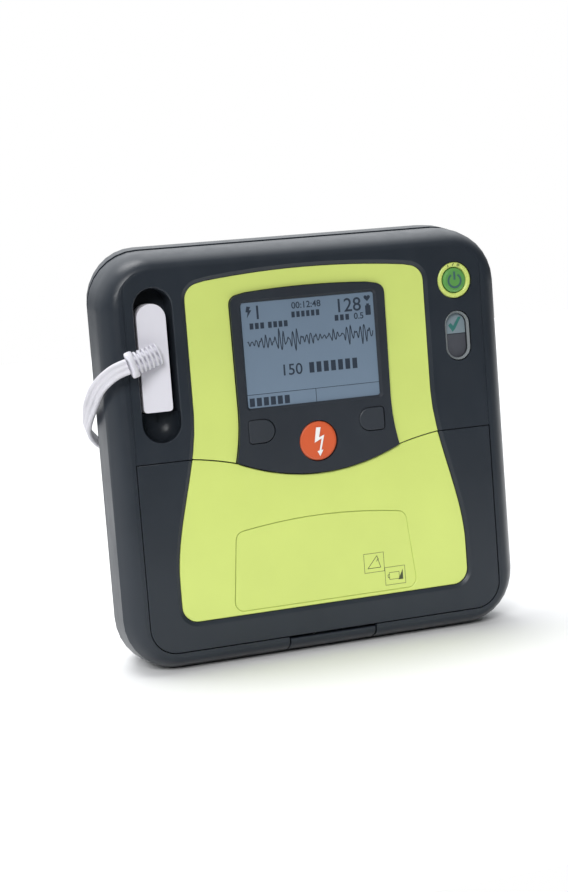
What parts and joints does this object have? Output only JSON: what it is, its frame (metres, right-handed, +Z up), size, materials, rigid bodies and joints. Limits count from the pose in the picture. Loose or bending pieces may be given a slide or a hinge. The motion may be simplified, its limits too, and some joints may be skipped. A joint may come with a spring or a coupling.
{
  "type": "portable defibrillator",
  "caption": "Portable defibrillator with a screen and keys, a flip-up battery door with push latch, and a plug-in electrode lead.",
  "frame": {"origin": "on the floor, under the middle of the body (without the electrode lead and what is on it)", "axes": "+X to the right seen from the front, the front faces -Y, +Z up"},
  "size_m": [0.2665, 0.2207, 0.234],
  "materials": {
    "case_plastic": "satin, fine texture",
    "lime_plastic": "satin",
    "bezel_plastic": "satin",
    "screen_window": "clear, anti-glare",
    "display": "liquid crystal display",
    "key_rubber": "matte",
    "seal_rubber": "matte",
    "shock_key": "satin",
    "power_key": "satin",
    "white_plastic": "satin",
    "lead_jacket": "ribbed flat cord",
    "circuit_board": "solder mask",
    "inner_plastic": "moulded",
    "battery_case": "moulded",
    "steel": "plated",
    "sheet_aluminium": "bare sheet",
    "winding": "varnished copper winding",
    "contact_metal": "plated",
    "pouch_film": "laminated film"
  },
  "bodies": {
    "root": {"front_shell": "case_plastic", "rear_shell": "case_plastic", "seal_gasket": "seal_rubber", "upper_panel": "lime_plastic", "screen_bezel": "bezel_plastic", "display_window": "screen_window", "display_module": "display", "display_board": "circuit_board", "keypad_mat": "key_rubber", "power_ring": "lime_plastic", "ready_window": "screen_window", "ready_indicator": "display", "switch_board": "circuit_board", "pads_socket": "inner_plastic", "lead": "lead_jacket", "lead_coil": "lead_jacket", "lead_tail": "lead_jacket", "pads_pouch": "pouch_film", "door_seal": "seal_rubber", "latch_spring_1": "steel", "latch_spring_2": "steel", "battery_well": "inner_plastic", "battery_pack": "battery_case", "battery_contacts": "contact_metal", "chassis": "sheet_aluminium", "main_board": "circuit_board", "hv_capacitor": "sheet_aluminium", "charging_transformer": "winding", "relay_module": "inner_plastic", "speaker": "inner_plastic", "case_screw_1": "steel", "case_screw_2": "steel", "case_screw_3": "steel", "case_screw_4": "steel", "rear_foot_1": "seal_rubber", "rear_foot_2": "seal_rubber", "rear_foot_3": "seal_rubber", "rear_foot_4": "seal_rubber"},
    "battery_door": {"door": "case_plastic", "door_panel": "lime_plastic", "door_label": "lime_plastic", "hinge_arm_left": "inner_plastic", "hinge_arm_right": "inner_plastic"},
    "latch": {"latch_tab": "case_plastic"},
    "shock_key": {"shock_button": "shock_key", "shock_symbol": "white_plastic"},
    "power_key": {"power_button": "power_key"},
    "left_key": {"softkey_left": "key_rubber"},
    "right_key": {"softkey_right": "key_rubber"},
    "pads_plug": {"pads_connector": "white_plastic", "strain_relief": "white_plastic"}
  },
  "joints": [
    {"name": "door_hinge", "type": "hinge", "parent": "root", "child": "battery_door", "pos_m": [0, -0.0375, 0.1168], "axis": [-1, 0, 0], "range_deg": [0, 90]},
    {"name": "latch_press", "type": "slide", "parent": "root", "child": "latch", "axis": [0, 0, 1], "range_m": [0, 0.0011], "stiffness_N_per_m": 800, "springref_m": -0.0012, "deforming": ["latch_spring_1", "latch_spring_2"]},
    {"name": "shock_press", "type": "slide", "parent": "root", "child": "shock_key", "axis": [0, 1, 0], "range_m": [0, 0.0012], "stiffness_N_per_m": 500, "springref_m": -0.0012},
    {"name": "power_press", "type": "slide", "parent": "root", "child": "power_key", "axis": [0, 1, 0], "range_m": [0, 0.0012], "stiffness_N_per_m": 300, "springref_m": -0.0012},
    {"name": "left_key_press", "type": "slide", "parent": "root", "child": "left_key", "axis": [0, 1, 0], "range_m": [0, 0.0012], "stiffness_N_per_m": 300, "springref_m": -0.0012},
    {"name": "right_key_press", "type": "slide", "parent": "root", "child": "right_key", "axis": [0, 1, 0], "range_m": [0, 0.0012], "stiffness_N_per_m": 300, "springref_m": -0.0012},
    {"name": "plug_pull", "type": "slide", "parent": "root", "child": "pads_plug", "axis": [0, -1, 0], "range_m": [0, 0.022]}
  ]
}
